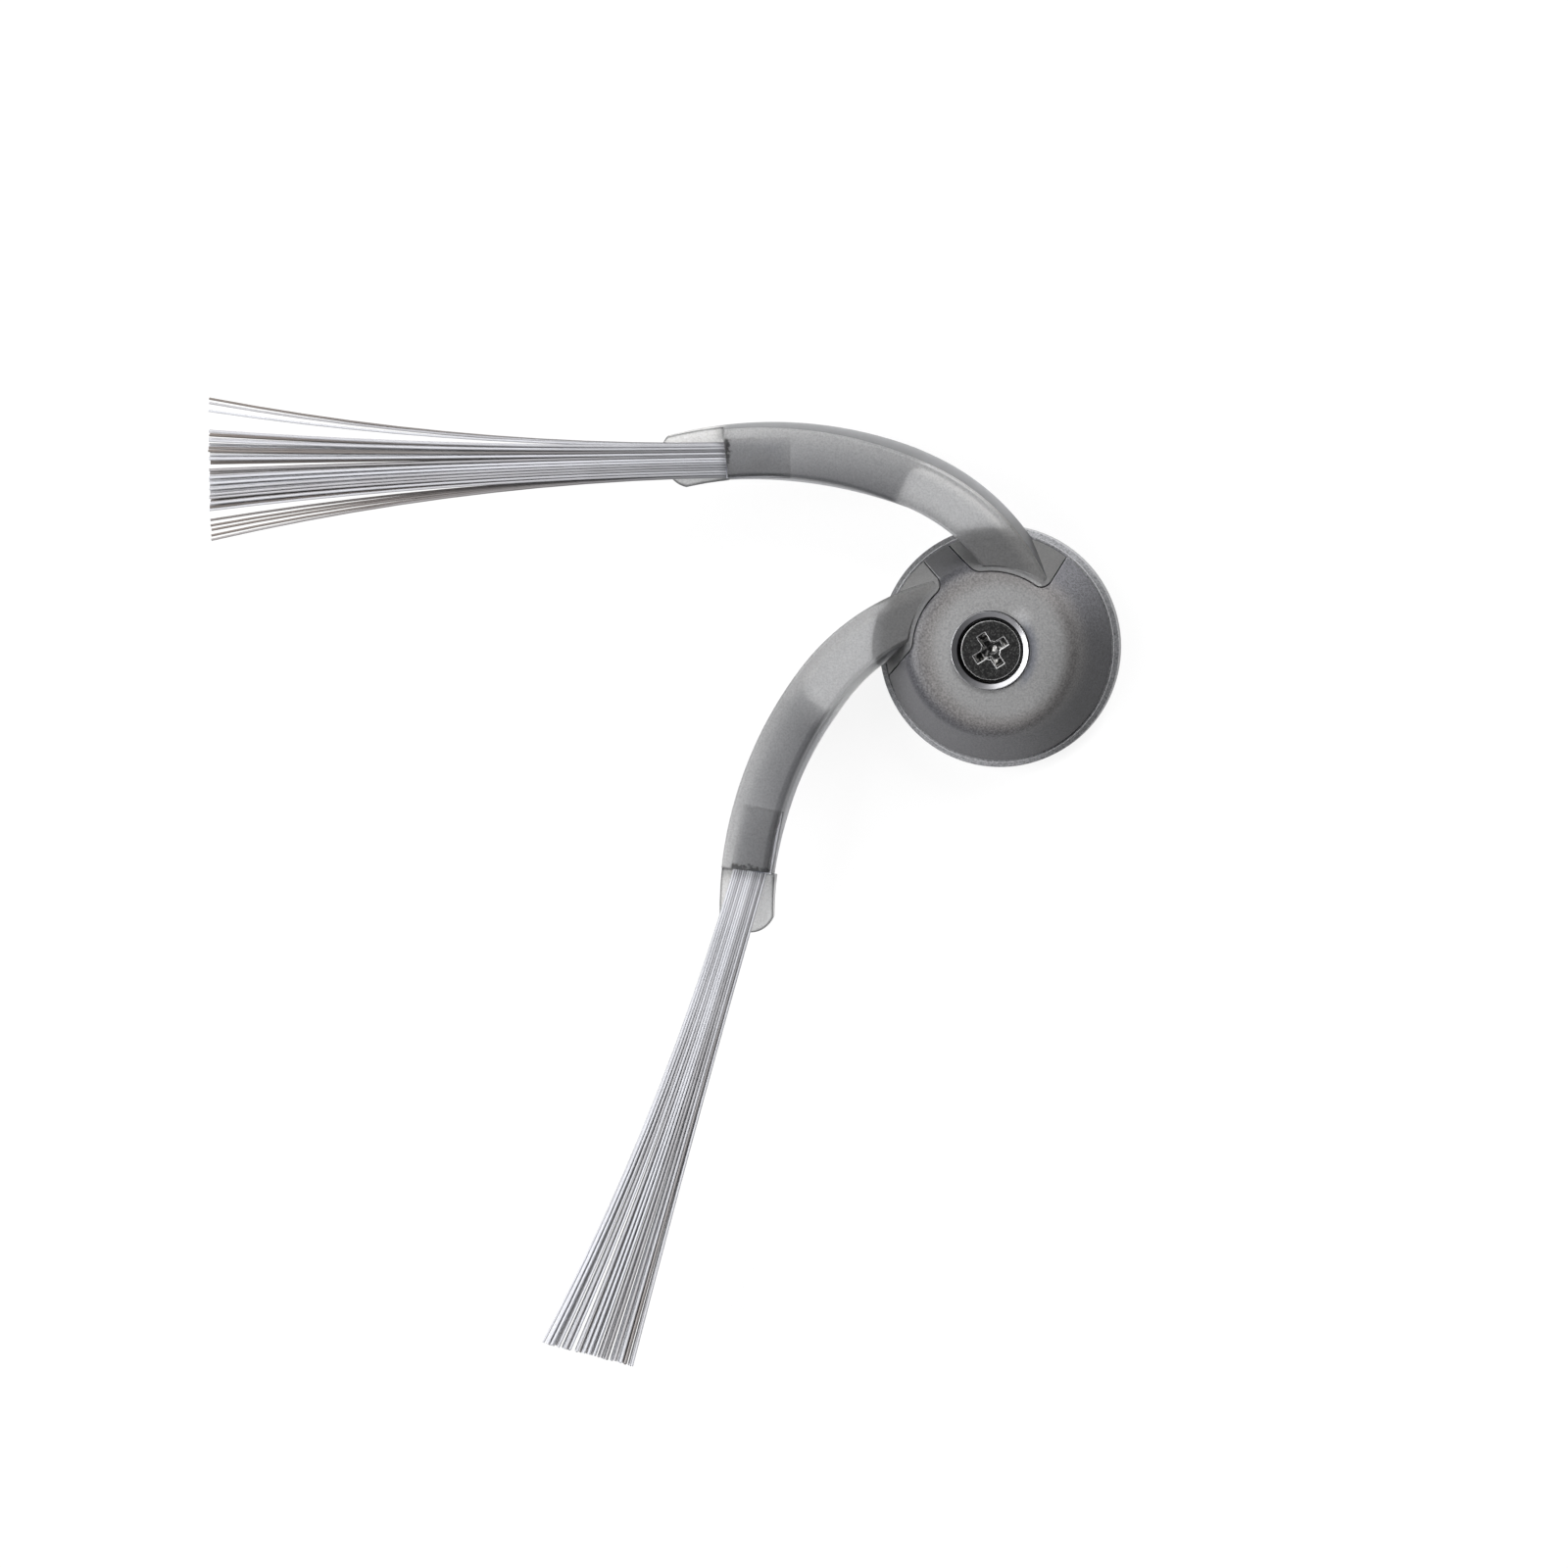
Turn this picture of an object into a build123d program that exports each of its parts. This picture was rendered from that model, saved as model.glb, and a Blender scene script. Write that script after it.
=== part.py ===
"""Side brush of a robot vacuum cleaner: a domed hub with two curved arms that carry bristle tufts.

The hub's axis is Z. The rim of the hub stands on Z = 0 and the screw head faces up, towards the floor in use.
"""

import os
from math import atan, cos, radians, sin, tan

from build123d import *

os.makedirs("parts", exist_ok=True)

# Fits, in mm
seam_gap = 0.12  # round an arm foot in its window
fit_gap = 0.05  # between pieces that seat in each other
screw_gap = 0.15  # round the screw's head and shank

# Hub base
rim_diameter = 24.5
rim_height = 2.2
rim_edge_break = 0.5
rim_wall = 1.5
deck_thickness = 1.2
boss_diameter = 10.0
boss_height = 5.2
socket_width = 5.2  # across the flats of the motor shaft's square
socket_corner_radius = 0.8
rib_count = 6
rib_thickness = 1.0

# Hub cover
cover_diameter = 23.0
skirt_height = 0.5
shoulder_diameter = 16.8
shoulder_height = 9.0
shoulder_radius = 2.0
shoulder_flats = 5  # that the rounded shoulder is made of
crown_height = 9.4
cover_wall = 1.6
collar_wall = 1.2
seat_thickness = 1.2

# Cup washer and screw
cup_diameter = 8.0
cup_floor = 0.8
cup_proud = 0.3
cup_mouth_depth = 0.25
cup_lip = 0.1
head_diameter = 6.5
head_height = 1.9
head_edge_break = 0.25
shank_diameter = 3.0
shank_tip_height = 1.0
shank_point = 0.5
cross_length = 3.75
cross_width = 0.95
cross_depth = 1.5
cross_slots = 2
cross_end_slope = 26.5
cross_turn = 32.5

# Arm bar, drawn flat with its upper face on Z = 0 and turned up to its rise when it is placed
arm_1_turn = 0.0
arm_2_turn = 78.6
arm_face_height = 8.5
arm_rise = 5.0
arm_rise_direction = 165.0
arm_width = 5.65  # across the lower edges
arm_depth = 7.2
outer_draft = 0.45  # how far the upper edge leans in on the outside of the bend
inner_draft = 0.3
arm_edge_break = 0.25
root_arc_radius = 21.46
root_arc_center_distance = 16.24
root_arc_center_direction = 190.4
root_angle = 14.0
reach_arc_radius = 38.14
bend_angle = 64.6  # where the root arc runs into the reach arc
step_angle = 67.8  # where the hollow neck ends and the solid outer part starts
mouth_angle = 95.7
tip_angle = 105.2
root_depth = 6.1
step_depth = 7.1
tip_depth = 3.0
tip_outer_corner_radius = 1.9
tip_inner_corner_radius = 2.6
neck_thickness = 2.5
neck_outer_wall = 1.2
neck_inner_wall = 0.7
neck_corner_radius = 1.5
belly_radius = 45.47  # of the flatter arc that the outer part bulges to on the inside of the bend
belly_bulge = 0.245  # how far its widest line stands out of the bar's lower edge
belly_angle = 83.0
belly_start_angle = 64.0
belly_end_angle = 101.0
belly_top = 0.4
belly_depth = 2.2
belly_slope = 0.6  # how far the bulge draws back above its widest line
belly_undercut = 0.45
belly_bottom = 5.5
lip_depth = 2.1
lip_flare = 0.3  # how far the lip stands out of the bar on the inside of the bend
trough_radius = 8.0
trough_depth = 2.5

# Arm foot
foot_inner_radius = 8.05
root_inset = 0.5  # from the foot's edges to the bar
foot_near_angle = 47.3
foot_near_lean = 18.7  # how far the near side leans out of the radial direction
foot_far_angle = 100.2
foot_far_lean = 45.8
foot_far_radius = 1.6
foot_near_radius = 0.9
flange_width = 1.7
flange_height = 1.0
flange_overlap = 6.0  # degrees past the window on both sides

# Bristle tufts
filament_diameter = 0.28
filament_pitch = 0.29
filament_sides = 4
filament_columns = 13
filament_rows = 3
filament_steps = 4  # straight lengths that a bent filament is made of
row_pitch = 0.42
bristle_unevenness = 0.5  # how far the ends are out of line
bristle_waver = 0.2  # how far a filament strays from its place in the fan
waver_steps = (2.4, 1.7)  # radians from one filament to the next
tuft_direction = 181.0
tuft_offset = 0.6  # towards the inside of the bend
tuft_roof = 0.55
root_length = 6.4
root_margin = 0.12
tuft_1_length = 52.5
tuft_1_spread = 14.6
tuft_1_thickness = 3.4
tuft_1_lean = 0.0  # how far the ends lie to one side, on straight filaments
tuft_1_bend = 0.0  # and how much further they bend to it
tuft_2_length = 51.3
tuft_2_spread = 9.8
tuft_2_thickness = 3.0
tuft_2_lean = -4.7
tuft_2_bend = -2.4

rim_radius = rim_diameter / 2
boss_radius = boss_diameter / 2
cover_radius = cover_diameter / 2
shoulder_r = shoulder_diameter / 2
cup_radius = cup_diameter / 2
cup_seat_height = boss_height + seat_thickness
head_seat_height = cup_seat_height + cup_floor
cup_mouth_height = crown_height + cup_proud
cup_bore_radius = shank_diameter / 2 + screw_gap
cup_inner_radius = head_diameter / 2 + screw_gap
arm_turns = {"1": arm_1_turn, "2": arm_2_turn}
tuft_fans = {
    "1": (tuft_1_length, tuft_1_spread, tuft_1_thickness, tuft_1_lean, tuft_1_bend),
    "2": (tuft_2_length, tuft_2_spread, tuft_2_thickness, tuft_2_lean, tuft_2_bend),
}


def polar(radius, angle):
    return Vector(radius * cos(radians(angle)), radius * sin(radians(angle)), 0)


def dome_profile():
    """Half section of the dome's outside, from the deck to the crown, with a shoulder of flats."""
    slope_foot = Vector(cover_radius, rim_height + skirt_height)
    corner = Vector(shoulder_r, shoulder_height)
    crown_edge = Vector(cup_radius, crown_height)
    with BuildLine() as shoulder:
        FilletPolyline(slope_foot, corner, crown_edge, radius=shoulder_radius)
    rounding = shoulder.edges().filter_by(GeomType.CIRCLE)[0]
    flats = [rounding @ (step / shoulder_flats) for step in range(shoulder_flats + 1)]
    with BuildSketch(Plane.XZ) as profile:
        with BuildLine():
            Polyline(
                (0, rim_height),
                (cover_radius, rim_height),
                slope_foot,
                *sorted(flats, key=lambda point: point.Y),
                crown_edge,
                (0, crown_height),
                close=True,
            )
        make_face()
    return profile.sketch


def foot_outline():
    """Plan of an arm foot: a piece of the dome whose sides lean out along the arm."""
    past_rim = rim_diameter
    near_corner = polar(foot_inner_radius, foot_near_angle)
    far_corner = polar(foot_inner_radius, foot_far_angle)
    near_end = near_corner + polar(past_rim, foot_near_angle + foot_near_lean)
    far_end = far_corner + polar(past_rim, foot_far_angle + foot_far_lean)
    with BuildSketch(Plane.XY.offset(rim_height)) as outline:
        with BuildLine():
            Polyline(near_corner, near_end, far_end, far_corner)
            RadiusArc(far_corner, near_corner, foot_inner_radius)
        make_face()
        fillet(outline.vertices().sort_by_distance(near_corner)[0], radius=foot_near_radius)
        fillet(outline.vertices().sort_by_distance(far_corner)[0], radius=foot_far_radius)
    return outline.sketch


# Hub base: rim, deck and drive boss
with BuildPart() as hub_base:
    deck_bottom = rim_height - deck_thickness
    rim_inner_radius = rim_radius - rim_wall
    with BuildSketch(Plane.XZ) as base_section:
        with BuildLine():
            Polyline(
                (0, 0),
                (boss_radius, 0),
                (boss_radius, deck_bottom),
                (rim_inner_radius, deck_bottom),
                (rim_inner_radius, 0),
                (rim_radius, 0),
                (rim_radius, rim_height),
                (boss_radius, rim_height),
                (boss_radius, boss_height),
                (0, boss_height),
                close=True,
            )
        make_face()
        rim_edge = base_section.vertices().sort_by_distance((rim_radius, rim_height))[0]
        chamfer(rim_edge, length=rim_edge_break)
    revolve(axis=Axis.Z)
    with BuildSketch(Plane.XY) as ribs:
        rib_length = rim_inner_radius - boss_radius
        with PolarLocations(boss_radius + rib_length / 2, rib_count, start_angle=180 / rib_count):
            Rectangle(rib_length + 2 * fit_gap, rib_thickness)
    extrude(amount=deck_bottom)
    with BuildSketch(Plane.XY) as socket:
        RectangleRounded(socket_width, socket_width, socket_corner_radius)
    extrude(amount=boss_height, mode=Mode.SUBTRACT)
hub_base.part.label = "hub_base"
export_step(hub_base.part, "parts/hub_base.step")

# Hub cover: dome with a collar over the drive boss, a seat for the cup and windows for the feet
slope = atan((shoulder_height - rim_height - skirt_height) / (cover_radius - shoulder_r))
collar_radius = boss_radius + fit_gap + collar_wall
roof_height = shoulder_height - cover_wall
cavity_radius = cover_radius - (cover_wall - skirt_height * cos(slope)) / sin(slope)
cavity_top_radius = cavity_radius - (roof_height - rim_height) / tan(slope)
with BuildPart() as hub_cover:
    revolve(dome_profile(), axis=Axis.Z)
    with BuildSketch(Plane.XZ) as cavity:
        with BuildLine():
            Polyline(
                (collar_radius, rim_height),
                (cavity_radius, rim_height),
                (max(cavity_top_radius, collar_radius + fit_gap), roof_height),
                (collar_radius, roof_height),
                close=True,
            )
        make_face()
    revolve(axis=Axis.Z, mode=Mode.SUBTRACT)
    with BuildSketch(Plane.XZ) as bore:
        with BuildLine():
            Polyline(
                (0, rim_height),
                (boss_radius + fit_gap, rim_height),
                (boss_radius + fit_gap, boss_height),
                (cup_bore_radius, boss_height),
                (cup_bore_radius, cup_seat_height),
                (cup_radius + fit_gap, cup_seat_height),
                (cup_radius + fit_gap, crown_height + cup_proud),
                (0, crown_height + cup_proud),
                close=True,
            )
        make_face()
    revolve(axis=Axis.Z, mode=Mode.SUBTRACT)
    window = offset(foot_outline(), amount=seam_gap, mode=Mode.PRIVATE)
    for turn in arm_turns.values():
        extrude(window.rotate(Axis.Z, turn), amount=crown_height, mode=Mode.SUBTRACT)
hub_cover.part.label = "hub_cover"
export_step(hub_cover.part, "parts/hub_cover.step")

# Cup washer: drawn cup with a flared mouth
with BuildPart() as cup_washer:
    with BuildSketch(Plane.XZ) as cup_section:
        with BuildLine():
            Polyline(
                (cup_bore_radius, cup_seat_height),
                (cup_radius, cup_seat_height),
                (cup_radius, cup_mouth_height),
                (cup_radius - cup_lip, cup_mouth_height),
                (cup_inner_radius, cup_mouth_height - cup_mouth_depth),
                (cup_inner_radius, head_seat_height),
                (cup_bore_radius, head_seat_height),
                close=True,
            )
        make_face()
    revolve(axis=Axis.Z)
cup_washer.part.label = "cup_washer"
export_step(cup_washer.part, "parts/cup_washer.step")

# Screw: flat head with a cross recess, and its shank
with BuildPart() as screw:
    head_top = head_seat_height + head_height
    with BuildSketch(Plane.XZ) as screw_section:
        with BuildLine():
            Polyline(
                (0, shank_tip_height),
                (shank_diameter / 2 - shank_point, shank_tip_height),
                (shank_diameter / 2, shank_tip_height + shank_point),
                (shank_diameter / 2, head_seat_height),
                (head_diameter / 2, head_seat_height),
                (head_diameter / 2, head_top),
                (0, head_top),
                close=True,
            )
        make_face()
        head_edge = screw_section.vertices().sort_by_distance((head_diameter / 2, head_top))[0]
        chamfer(head_edge, length=head_edge_break)
    revolve(axis=Axis.Z)
    cross_bottom = cross_length / 2 - cross_depth * tan(radians(cross_end_slope))
    for slot in range(cross_slots):
        with BuildSketch(Plane.XZ.rotated((0, 0, cross_turn + slot * 180 / cross_slots))) as wing:
            with BuildLine():
                Polyline(
                    (-cross_length / 2, head_top),
                    (-cross_bottom, head_top - cross_depth),
                    (cross_bottom, head_top - cross_depth),
                    (cross_length / 2, head_top),
                    close=True,
                )
            make_face()
        extrude(amount=cross_width / 2, both=True, mode=Mode.SUBTRACT)
    with BuildSketch(Plane.XZ) as cone:
        with BuildLine():
            Polyline(
                (0, head_top),
                (cross_width, head_top),
                (cross_width / 2, head_top - cross_depth),
                (0, head_top - cross_depth - cross_width / 4),
                close=True,
            )
        make_face()
    revolve(axis=Axis.Z, mode=Mode.SUBTRACT)
screw.part.label = "screw"
export_step(screw.part, "parts/screw.step")

# Arm bar: two tangent arcs of one width, a hollow neck, a solid outer part, a tuft socket and an open lip
root_center = polar(root_arc_center_distance, root_arc_center_direction)
reach_center = root_center - polar(reach_arc_radius - root_arc_radius, bend_angle)
half_width = arm_width / 2
belly_center = reach_center + polar(reach_arc_radius - half_width - belly_bulge - belly_radius, belly_angle)
root_axis = Axis(tuple(root_center), (0, 0, 1))
reach_axis = Axis(tuple(reach_center), (0, 0, 1))
belly_axis = Axis(tuple(belly_center), (0, 0, 1))
foot_point = polar(foot_inner_radius, (foot_near_angle + foot_far_angle) / 2)
step_point = reach_center + polar(reach_arc_radius, step_angle)
tip_point = reach_center + polar(reach_arc_radius, tip_angle)
lip_radius = reach_arc_radius - lip_flare
tip_outer_corner = reach_center + polar(reach_arc_radius + half_width, tip_angle)
tip_inner_corner = reach_center + polar(lip_radius - half_width, tip_angle)
hollow_outside = half_width - neck_outer_wall
hollow_inside = half_width - neck_inner_wall
past_tip_angle = 2 * tip_angle - mouth_angle
tuft_radius = reach_arc_radius - tuft_offset
tuft_width = (filament_columns - 1) * filament_pitch + filament_diameter + 2 * root_margin
tuft_height = (filament_rows - 1) * row_pitch + filament_diameter + 2 * root_margin
tuft_middle = tuft_roof + fit_gap + tuft_height / 2
tuft_plane = Plane(
    origin=reach_center + polar(tuft_radius, mouth_angle) - Vector(0, 0, tuft_middle),
    x_dir=polar(1, tuft_direction + 90),
    z_dir=polar(1, tuft_direction),
)


def arc_plane(center, angle):
    """Upright plane through an arc's centre, with X out along the radius and Y up."""
    return Plane(origin=center, x_dir=polar(1, angle), z_dir=polar(1, angle - 90))


def bar_section(plane, radius):
    """Section of the bar: flat on top and drafted on both sides."""
    with BuildSketch(plane) as section:
        with BuildLine():
            Polyline(
                (radius - half_width + inner_draft, 0),
                (radius - half_width, -arm_depth),
                (radius + half_width, -arm_depth),
                (radius + half_width - outer_draft, 0),
                close=True,
            )
        make_face()
        chamfer(section.vertices().group_by(Axis.Y)[-1], length=arm_edge_break)
    return section.sketch


def belly_section(plane):
    """Section of the bulge on the inside of the bend: a ridge that slopes back above and below."""
    inside = belly_radius + half_width
    with BuildSketch(plane) as section:
        with BuildLine():
            Polyline(
                (belly_radius + belly_slope, -belly_top),
                (belly_radius, -belly_depth),
                (belly_radius + belly_undercut, -belly_bottom),
                (inside, -belly_bottom),
                (inside, -belly_top),
                close=True,
            )
        make_face()
    return section.sketch


def slanted_floor(start, start_depth, end, end_depth):
    """Plane that falls from one depth to another along the line from start to end."""
    along = end - start
    down = end_depth - start_depth
    return Plane(
        origin=start - Vector(0, 0, start_depth),
        z_dir=(along.X * down, along.Y * down, along.length**2),
    )


def arc_band(center, inner_radius, outer_radius, start_angle, end_angle):
    """Plan of a piece of a ring between two angles."""
    with BuildSketch(Plane.XY) as band:
        with BuildLine():
            inner_arc = CenterArc(center, inner_radius, start_angle, end_angle - start_angle)
            outer_arc = CenterArc(center, outer_radius, start_angle, end_angle - start_angle)
            Line(inner_arc @ 0, outer_arc @ 0)
            Line(inner_arc @ 1, outer_arc @ 1)
        make_face()
    return band.sketch


# Room under the neck, from the hub's rim to the step
with BuildPart() as hollow:
    with BuildSketch(Plane.XY.offset(-neck_thickness)) as hollow_plan:
        add(
            arc_band(
                root_center,
                root_arc_radius - hollow_inside,
                root_arc_radius + hollow_outside,
                root_angle,
                bend_angle,
            )
        )
        add(
            arc_band(
                reach_center,
                reach_arc_radius - hollow_inside,
                reach_arc_radius + hollow_outside,
                bend_angle,
                step_angle,
            )
        )
        Circle(rim_radius, mode=Mode.SUBTRACT)
        hollow_corner = reach_center + polar(reach_arc_radius + hollow_outside, step_angle)
        fillet(hollow_plan.vertices().sort_by_distance(hollow_corner)[0], radius=neck_corner_radius)
    extrude(amount=-arm_depth)

# Room round the tip's rounded corners
with BuildPart() as tip_room:
    with BuildSketch(Plane.XY) as tip_corners:
        add(
            arc_band(
                reach_center,
                reach_arc_radius - arm_width,
                reach_arc_radius + arm_width,
                mouth_angle,
                past_tip_angle,
            )
        )
        with BuildSketch(mode=Mode.SUBTRACT) as tip_plan:
            add(
                arc_band(
                    reach_center,
                    lip_radius - half_width,
                    reach_arc_radius + half_width,
                    mouth_angle,
                    tip_angle,
                )
            )
            fillet(tip_plan.vertices().sort_by_distance(tip_outer_corner)[0], radius=tip_outer_corner_radius)
            fillet(tip_plan.vertices().sort_by_distance(tip_inner_corner)[0], radius=tip_inner_corner_radius)
    extrude(amount=-arm_depth)

with BuildPart() as bar:
    revolve(
        bar_section(arc_plane(root_center, root_angle), root_arc_radius),
        axis=root_axis,
        revolution_arc=bend_angle - root_angle,
    )
    revolve(
        bar_section(arc_plane(reach_center, bend_angle), reach_arc_radius),
        axis=reach_axis,
        revolution_arc=past_tip_angle - bend_angle,
    )
    revolve(
        bar_section(arc_plane(reach_center, mouth_angle), lip_radius),
        axis=reach_axis,
        revolution_arc=past_tip_angle - mouth_angle,
    )
    revolve(
        belly_section(arc_plane(belly_center, belly_start_angle)),
        axis=belly_axis,
        revolution_arc=belly_end_angle - belly_start_angle,
    )
    split(bisect_by=slanted_floor(foot_point, root_depth, step_point, step_depth), keep=Keep.TOP)
    split(bisect_by=slanted_floor(step_point, step_depth, tip_point, tip_depth), keep=Keep.TOP)
    add(hollow.part, mode=Mode.SUBTRACT)
    add(tip_room.part, mode=Mode.SUBTRACT)
    with BuildSketch(arc_plane(reach_center, mouth_angle)) as lip_space:
        with BuildLine():
            Polyline(
                (tuft_radius - arm_width, fit_gap),
                (tuft_radius - arm_width, -lip_depth),
                (tuft_radius + arm_width, -lip_depth),
                (tuft_radius + arm_width, fit_gap),
                close=True,
            )
        make_face()
        with Locations((tuft_radius, trough_radius - trough_depth)):
            Circle(trough_radius)
    revolve(axis=reach_axis, revolution_arc=past_tip_angle - mouth_angle, mode=Mode.SUBTRACT)
    with BuildSketch(tuft_plane) as tuft_socket:
        Rectangle(tuft_width + 2 * fit_gap, tuft_height + 2 * fit_gap)
    extrude(amount=-(root_length + fit_gap), mode=Mode.SUBTRACT)
    extrude(tuft_socket.sketch, amount=tuft_offset, mode=Mode.SUBTRACT)

rise_direction = polar(1, arm_rise_direction)
rise_axis = Axis((0, 0, 0), rise_direction.cross(Vector(0, 0, 1)))


def placed(piece, turn):
    """An arm's piece turned up to its rise, lifted to its height and turned round the hub."""
    raised = piece.rotate(rise_axis, arm_rise).moved(Location((0, 0, arm_face_height)))
    return raised.rotate(Axis.Z, turn)


# Arm foot: plug of the dome with a flange that the cover holds down
with BuildPart() as foot:
    revolve(dome_profile(), axis=Axis.Z)
    extrude(foot_outline(), amount=crown_height, mode=Mode.INTERSECT)
    with BuildSketch(Plane.XZ.rotated((0, 0, foot_near_angle - flange_overlap))) as flange:
        with Locations((foot_inner_radius, rim_height + flange_height / 2)):
            Rectangle(flange_width, flange_height)
    revolve(axis=Axis.Z, revolution_arc=foot_far_angle - foot_near_angle + 2 * flange_overlap)

# Room of the hub that a bar stays out of: all but its foot's middle
with BuildPart() as hub_room:
    with BuildSketch(Plane.XY):
        Circle(cover_radius)
    extrude(amount=2 * crown_height)
    bar_way = offset(foot_outline(), amount=-root_inset, mode=Mode.PRIVATE)
    extrude(bar_way, amount=2 * crown_height, mode=Mode.SUBTRACT)
    with BuildSketch(Plane.XY):
        Circle(rim_radius)
    extrude(amount=rim_height + fit_gap)

for name, turn in arm_turns.items():
    with BuildPart() as arm:
        add(placed(bar.part, turn))
        add(hub_room.part.rotate(Axis.Z, turn), mode=Mode.SUBTRACT)
        add(foot.part.rotate(Axis.Z, turn))
    arm.part.label = f"arm_{name}"
    export_step(arm.part, f"parts/arm_{name}.step")


def filament_point(fan, column, row, along):
    """Point at a share of a filament's length, in the tuft's own frame: it leans and bends more and more."""
    length, spread, thickness, lean, bend = fan
    number = column * filament_rows + row
    stagger = (row - (filament_rows - 1) / 2) / filament_rows
    share = (2 * (column + stagger) - (filament_columns - 1)) / filament_columns
    level = 2 * row / (filament_rows - 1) - 1
    waver = sin(waver_steps[0] * number) * cos(waver_steps[1] * number)
    root_x = (column - (filament_columns - 1) / 2) * filament_pitch
    root_y = (row - (filament_rows - 1) / 2) * row_pitch
    tip_x = share * spread / 2 + bend + waver * bristle_waver
    tip_y = level * thickness / 4 + waver * bristle_waver
    return Vector(
        root_x + (tip_x - root_x) * along**2 + lean * along,
        root_y + (tip_y - root_y) * along**2,
        (length + waver * bristle_unevenness) * along,
    )


def filament(fan, column, row):
    """One bristle, in straight lengths."""
    with BuildPart() as strand:
        for step in range(filament_steps + 1):
            point = filament_point(fan, column, row, step / filament_steps)
            with BuildSketch(tuft_plane.offset(point.Z)):
                with Locations((point.X, point.Y)):
                    RegularPolygon(filament_diameter / 2, filament_sides)
        loft(ruled=True)
    return strand.part


# Tufts: filaments that spread from a fused root
with BuildPart() as tuft_root:
    with BuildSketch(tuft_plane):
        Rectangle(tuft_width, tuft_height)
    extrude(amount=-root_length)

for name, turn in arm_turns.items():
    filaments = [
        filament(tuft_fans[name], column, row)
        for column in range(filament_columns)
        for row in range(filament_rows)
    ]
    tuft = placed(tuft_root.part.fuse(*filaments, glue=True), turn)
    tuft.label = f"tuft_{name}"
    export_step(tuft, f"parts/tuft_{name}.step")
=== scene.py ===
"""Side brush of a robot vacuum cleaner: finishes, bristles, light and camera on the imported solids."""
from functools import cached_property
from math import cos, radians, sin

import bpy
from mathutils import Matrix, Vector


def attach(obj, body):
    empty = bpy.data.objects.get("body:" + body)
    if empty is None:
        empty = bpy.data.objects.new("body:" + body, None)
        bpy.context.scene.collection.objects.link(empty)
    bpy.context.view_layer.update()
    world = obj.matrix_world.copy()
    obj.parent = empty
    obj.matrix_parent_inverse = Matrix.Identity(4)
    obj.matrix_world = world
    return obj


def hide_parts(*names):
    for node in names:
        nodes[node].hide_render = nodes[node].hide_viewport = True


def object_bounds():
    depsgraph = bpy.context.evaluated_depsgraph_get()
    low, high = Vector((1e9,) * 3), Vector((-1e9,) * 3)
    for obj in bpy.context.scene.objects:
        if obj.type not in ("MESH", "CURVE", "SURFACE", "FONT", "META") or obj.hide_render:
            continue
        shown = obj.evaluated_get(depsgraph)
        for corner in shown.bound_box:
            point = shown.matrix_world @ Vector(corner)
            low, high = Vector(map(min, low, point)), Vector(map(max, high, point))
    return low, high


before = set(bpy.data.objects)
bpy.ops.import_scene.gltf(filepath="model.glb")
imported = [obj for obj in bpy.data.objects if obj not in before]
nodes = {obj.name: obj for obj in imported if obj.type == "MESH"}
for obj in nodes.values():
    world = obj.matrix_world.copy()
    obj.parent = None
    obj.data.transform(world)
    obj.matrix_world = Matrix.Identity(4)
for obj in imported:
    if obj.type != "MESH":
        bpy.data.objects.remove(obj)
cad_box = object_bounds()

mm = 0.001

# Arms and tuft sockets, as on the solids
arm_turns = {"1": 0.0, "2": 78.6}
arm_face_height = 8.5 * mm
arm_rise = 5.0
arm_rise_direction = 165.0
root_arc_radius = 21.46 * mm
root_arc_center_distance = 16.24 * mm
root_arc_center_direction = 190.4
reach_arc_radius = 38.14 * mm
bend_angle = 64.6
mouth_angle = 95.7
tuft_direction = 181.0
tuft_offset = 0.6 * mm
tuft_middle = 1.28 * mm
tuft_root_width = 3.96 * mm
tuft_root_height = 1.34 * mm
tuft_root_length = 6.35 * mm

# Painted shade of each arm: how far out the dark inside of its bend reaches, how far past the bend it is
# full, and how far from the middle its painted crease shadow lies
arm_painted_shades = {"1": (1.4 * mm, 2.6 * mm, -2.5 * mm), "2": (3.3 * mm, 4.4 * mm, -2.15 * mm)}

# Bristles
bristle_radius = 0.135 * mm
bristle_rows = 5
bristle_width = 3.4 * mm
bristle_segments = 12
bristle_sides = 6
bristle_fans = {
    "1": {
        "Length": 52.5 * mm, "Thickness": 1.6 * mm, "Lean": 0.0, "Bend": 0.0, "Slant": 0.0,
        "Columns": 13, "Darkest": 0.1, "Streaks": 16.0, "Waver": 0.12 * mm, "Seed": 11,
        "Lane Shift": 0.2 * mm,
    },
    "2": {
        "Length": 51.3 * mm, "Thickness": 1.4 * mm, "Lean": -4.7 * mm, "Bend": -2.4 * mm, "Slant": 0.3 * mm,
        "Columns": 15, "Darkest": 0.35, "Streaks": 16.0, "Waver": 0.16 * mm, "Seed": 29,
        "Lane Shift": -0.12 * mm,
    },
}

# Groups of each fan: the share of the filaments that a group ends at, where its first and last tip lie,
# and how much darker it is
bristle_groups = {
    "1": (
        (0.05, -7.6 * mm, -5.2 * mm, 0.05),
        (0.34, -3.7 * mm, -0.2 * mm, 0.05),
        (0.6, 0.2 * mm, 2.2 * mm, 0.0),
        (0.91, 2.2 * mm, 4.3 * mm, 0.3),
        (1.0, 4.6 * mm, 7.9 * mm, 0.5),
    ),
    "2": ((0.85, -4.75 * mm, 3.3 * mm, 0.0), (1.0, 3.3 * mm, 4.75 * mm, 0.25)),
}

# Screw thread
thread_radius = 1.5 * mm
thread_pitch = 0.7 * mm
thread_bottom = 1.7 * mm
thread_top = 5.0 * mm
thread_ridge = 0.24 * mm
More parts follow.
